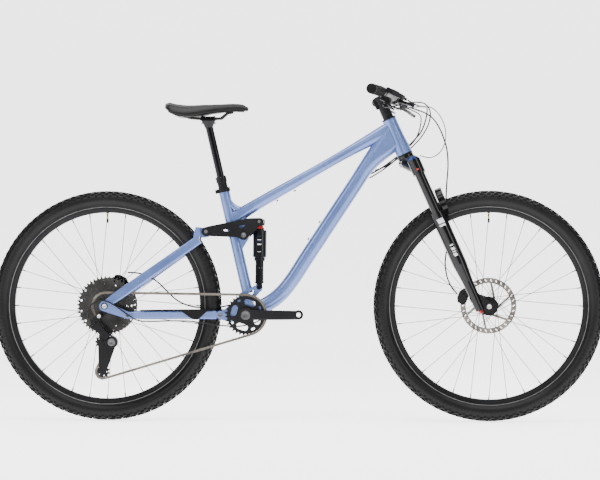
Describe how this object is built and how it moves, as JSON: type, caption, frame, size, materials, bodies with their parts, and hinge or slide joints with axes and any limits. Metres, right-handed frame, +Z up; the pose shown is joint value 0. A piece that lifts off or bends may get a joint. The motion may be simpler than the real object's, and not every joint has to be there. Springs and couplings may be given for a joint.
{
  "type": "mountain bike",
  "caption": "Full-suspension trail bicycle with telescopic fork, linkage rear shock, disc brakes, single chainring drive and sliding seatpost.",
  "frame": {"origin": "on the ground, half way between the two wheel axles, in the bicycle's middle plane", "axes": "+X forward, +Y the bicycle's left (the drive side is -Y), +Z up"},
  "size_m": [1.969, 0.7898, 1.0668],
  "materials": {
    "frame_paint": "metallic pale periwinkle paint, clear coat",
    "black_alloy": "black anodised alloy",
    "gloss_black": "gloss black paint",
    "steel": "brushed steel",
    "chain_steel": "oiled brownish steel",
    "stanchion_black": "polished dark coating",
    "tyre_rubber": "matt knobbly rubber",
    "grip_rubber": "ribbed matt rubber",
    "cable_jacket": "black nylon jacket",
    "saddle_cover": "stitched synthetic cover",
    "saddle_shell": "moulded nylon",
    "red_anodised": "red anodised",
    "blue_anodised": "blue anodised",
    "cassette_steel": "dark nickel finish",
    "guard_rubber": "moulded rubber"
  },
  "bodies": {
    "frame": {"head_tube": "frame_paint", "seat_tube": "frame_paint", "down_tube": "frame_paint", "top_tube": "frame_paint", "bottom_bracket_shell": "frame_paint", "headset_cups": "black_alloy", "seatpost_outer": "black_alloy", "frame_fittings": "black_alloy", "control_cables": "cable_jacket", "rear_cables": "cable_jacket", "chain": "chain_steel"},
    "seat": {"seatpost_inner": "black_alloy", "saddle_base": "saddle_shell", "saddle_pad": "saddle_cover"},
    "steering": {"fork_uppers": "gloss_black", "stem": "black_alloy", "handlebar": "black_alloy", "grips": "grip_rubber", "bar_clamps": "black_alloy", "fork_lines": "cable_jacket"},
    "lockout": {"lockout_spool": "blue_anodised"},
    "brake_right": {"brake_lever_right": "black_alloy"},
    "brake_left": {"brake_lever_left": "black_alloy"},
    "shifter": {"shift_lever": "black_alloy"},
    "releaser": {"release_lever": "black_alloy"},
    "post_remote": {"dropper_lever": "black_alloy"},
    "fork_lower": {"fork_lowers": "gloss_black", "front_axle": "black_alloy", "front_caliper": "black_alloy"},
    "rebound": {"rebound_knob": "red_anodised"},
    "front_wheel": {"front_tyre": "tyre_rubber", "front_rim": "black_alloy", "front_spokes": "steel", "front_hub": "black_alloy", "front_rotor": "steel"},
    "swingarm": {"chainstays": "frame_paint", "chainstay_guard": "guard_rubber"},
    "stays": {"seatstays": "frame_paint", "rear_axle": "black_alloy", "rear_caliper": "black_alloy"},
    "rocker": {"rocker_link": "black_alloy"},
    "shock_lower": {"shock_shaft": "stanchion_black"},
    "shock_upper": {"shock_can": "black_alloy"},
    "shock_switch": {"shock_lever": "red_anodised"},
    "rear_wheel": {"rear_tyre": "tyre_rubber", "rear_rim": "black_alloy", "rear_spokes": "steel", "rear_hub": "black_alloy", "rear_rotor": "steel"},
    "cassette_body": {"cassette": "cassette_steel"},
    "crank": {"chainring": "black_alloy", "crank_arm_right": "black_alloy", "crank_arm_left": "black_alloy"},
    "derailleur_mount": {"b_knuckle": "black_alloy"},
    "derailleur_outer": {"outer_link": "black_alloy"},
    "derailleur_inner": {"inner_link": "black_alloy"},
    "derailleur_knuckle": {"p_knuckle": "black_alloy"},
    "derailleur_cage": {"cage": "black_alloy"},
    "guide_wheel": {"guide_pulley": "cable_jacket"},
    "tension_wheel": {"tension_pulley": "cable_jacket"}
  },
  "joints": [
    {"name": "steering", "type": "hinge", "parent": "frame", "child": "steering", "pos_m": [0.3445, 0, 0.8582], "axis": [-0.4067, 0, 0.9135], "range_deg": [-55, 55], "deforming": ["control_cables"]},
    {"name": "fork_travel", "type": "slide", "parent": "steering", "child": "fork_lower", "axis": [-0.4067, 0, 0.9135], "range_m": [0, 0.13], "stiffness_N_per_m": 6000, "springref_m": -0.03, "deforming": ["fork_lines"]},
    {"name": "front_wheel_spin", "type": "hinge", "parent": "fork_lower", "child": "front_wheel", "pos_m": [0.6145, 0, 0.37], "axis": [0, 1, 0], "continuous": true},
    {"name": "rear_suspension", "type": "hinge", "parent": "frame", "child": "swingarm", "pos_m": [-0.2456, 0, 0.341], "axis": [0, 1, 0], "range_deg": [0, 22.5], "stiffness_Nm_per_rad": 900, "springref_deg": -1.15, "deforming": ["rear_cables", "chain"]},
    {"name": "seatstay_pivot", "type": "hinge", "parent": "swingarm", "child": "stays", "pos_m": [-0.5392, 0, 0.3404], "axis": [0, 1, 0], "range_deg": [-17, 0.2]},
    {"name": "rocker_pivot", "type": "hinge", "parent": "frame", "child": "rocker", "pos_m": [-0.1707, 0, 0.5976], "axis": [0, 1, 0], "range_deg": [-0.2, 48]},
    {"name": "shock_lower_eye", "type": "hinge", "parent": "frame", "child": "shock_lower", "pos_m": [-0.123, 0, 0.43], "axis": [0, 1, 0], "range_deg": [-0.1, 6]},
    {"name": "shock_travel", "type": "slide", "parent": "shock_lower", "child": "shock_upper", "axis": [-0.0109, 0, -0.9999], "range_m": [-0.0005, 0.0505]},
    {"name": "shock_switch_turn", "type": "hinge", "parent": "shock_upper", "child": "shock_switch", "pos_m": [-0.1209, -0.02, 0.62249], "axis": [0, 1, 0], "range_deg": [-25, 25]},
    {"name": "rear_wheel_spin", "type": "hinge", "parent": "stays", "child": "rear_wheel", "pos_m": [-0.6145, 0, 0.37], "axis": [0, 1, 0], "continuous": true},
    {"name": "crank_spin", "type": "hinge", "parent": "frame", "child": "crank", "pos_m": [-0.1625, 0, 0.3415], "axis": [0, 1, 0], "continuous": true, "deforming": ["chain"]},
    {"name": "cassette_spin", "type": "hinge", "parent": "stays", "child": "cassette_body", "pos_m": [-0.6145, 0, 0.37], "axis": [0, 1, 0], "continuous": true},
    {"name": "derailleur_mount_turn", "type": "hinge", "parent": "stays", "child": "derailleur_mount", "pos_m": [-0.6306, 0, 0.3382], "axis": [0, 1, 0], "range_deg": [-8, 8], "stiffness_Nm_per_rad": 10},
    {"name": "derailleur_shift", "type": "hinge", "parent": "derailleur_mount", "child": "derailleur_outer", "pos_m": [-0.641, -0.092, 0.309], "axis": [0.7278, 0, 0.6858], "range_deg": [-14, 14]},
    {"name": "derailleur_inner_turn", "type": "hinge", "parent": "derailleur_mount", "child": "derailleur_inner", "pos_m": [-0.641, -0.077, 0.309], "axis": [0.7278, 0, 0.6858], "range_deg": [-15, 15]},
    {"name": "derailleur_knuckle_turn", "type": "hinge", "parent": "derailleur_outer", "child": "derailleur_knuckle", "pos_m": [-0.60534, -0.092, 0.27116], "axis": [0.7278, 0, 0.6858], "range_deg": [-15, 15]},
    {"name": "cage_turn", "type": "hinge", "parent": "derailleur_knuckle", "child": "derailleur_cage", "pos_m": [-0.5901, 0, 0.2551], "axis": [0, 1, 0], "range_deg": [-30, 12], "stiffness_Nm_per_rad": 0.6, "springref_deg": 17.19},
    {"name": "guide_pulley_spin", "type": "hinge", "parent": "derailleur_cage", "child": "guide_wheel", "pos_m": [-0.62491, 0, 0.25488], "axis": [0, 1, 0], "continuous": true},
    {"name": "tension_pulley_spin", "type": "hinge", "parent": "derailleur_cage", "child": "tension_wheel", "pos_m": [-0.62358, 0, 0.15863], "axis": [0, 1, 0], "continuous": true},
    {"name": "dropper", "type": "slide", "parent": "frame", "child": "seat", "axis": [-0.225, 0, 0.9744], "range_m": [-0.15, 0]},
    {"name": "brake_right_pull", "type": "hinge", "parent": "steering", "child": "brake_right", "pos_m": [0.33064, -0.215, 1.01687], "axis": [-0.454, 0, -0.891], "range_deg": [0, 14], "stiffness_Nm_per_rad": 1.5, "springref_deg": -5.73},
    {"name": "brake_left_pull", "type": "hinge", "parent": "steering", "child": "brake_left", "pos_m": [0.33064, 0.215, 1.01687], "axis": [0.454, 0, 0.891], "range_deg": [0, 14], "stiffness_Nm_per_rad": 1.5, "springref_deg": -5.73},
    {"name": "shift_push", "type": "hinge", "parent": "steering", "child": "shifter", "pos_m": [0.30035, -0.189, 1.03231], "axis": [0.454, 0, 0.891], "range_deg": [0, 25], "stiffness_Nm_per_rad": 0.3, "springref_deg": -5.73},
    {"name": "release_push", "type": "hinge", "parent": "steering", "child": "releaser", "pos_m": [0.30035, -0.189, 1.03231], "axis": [0.454, 0, 0.891], "range_deg": [0, 12], "stiffness_Nm_per_rad": 0.3, "springref_deg": -5.73},
    {"name": "post_remote_push", "type": "hinge", "parent": "steering", "child": "post_remote", "pos_m": [0.29678, 0.201, 1.03412], "axis": [0.454, 0, 0.891], "range_deg": [-25, 0], "stiffness_Nm_per_rad": 0.3, "springref_deg": 5.73},
    {"name": "lockout_turn", "type": "hinge", "parent": "steering", "child": "lockout", "pos_m": [0.37193, -0.067, 0.84086], "axis": [-0.4067, 0, 0.9135], "range_deg": [0, 70]},
    {"name": "rebound_turn", "type": "hinge", "parent": "fork_lower", "child": "rebound", "pos_m": [0.58872, -0.067, 0.35394], "axis": [-0.4067, 0, 0.9135], "range_deg": [-150, 150]}
  ],
  "couplings": [
    {"joint": "rocker_pivot", "follows": "rear_suspension", "ratio": 2.1213},
    {"joint": "seatstay_pivot", "follows": "rear_suspension", "ratio": -0.7431},
    {"joint": "shock_lower_eye", "follows": "rear_suspension", "ratio": 0.2587},
    {"joint": "shock_travel", "follows": "rear_suspension", "m_per_rad": 0.12786},
    {"joint": "cassette_spin", "follows": "crank_spin", "ratio": 1.5238},
    {"joint": "tension_pulley_spin", "follows": "crank_spin", "ratio": 2.9091},
    {"joint": "guide_pulley_spin", "follows": "crank_spin", "ratio": -2.9091},
    {"joint": "derailleur_inner_turn", "follows": "derailleur_shift", "ratio": 1},
    {"joint": "derailleur_knuckle_turn", "follows": "derailleur_shift", "ratio": -1}
  ]
}
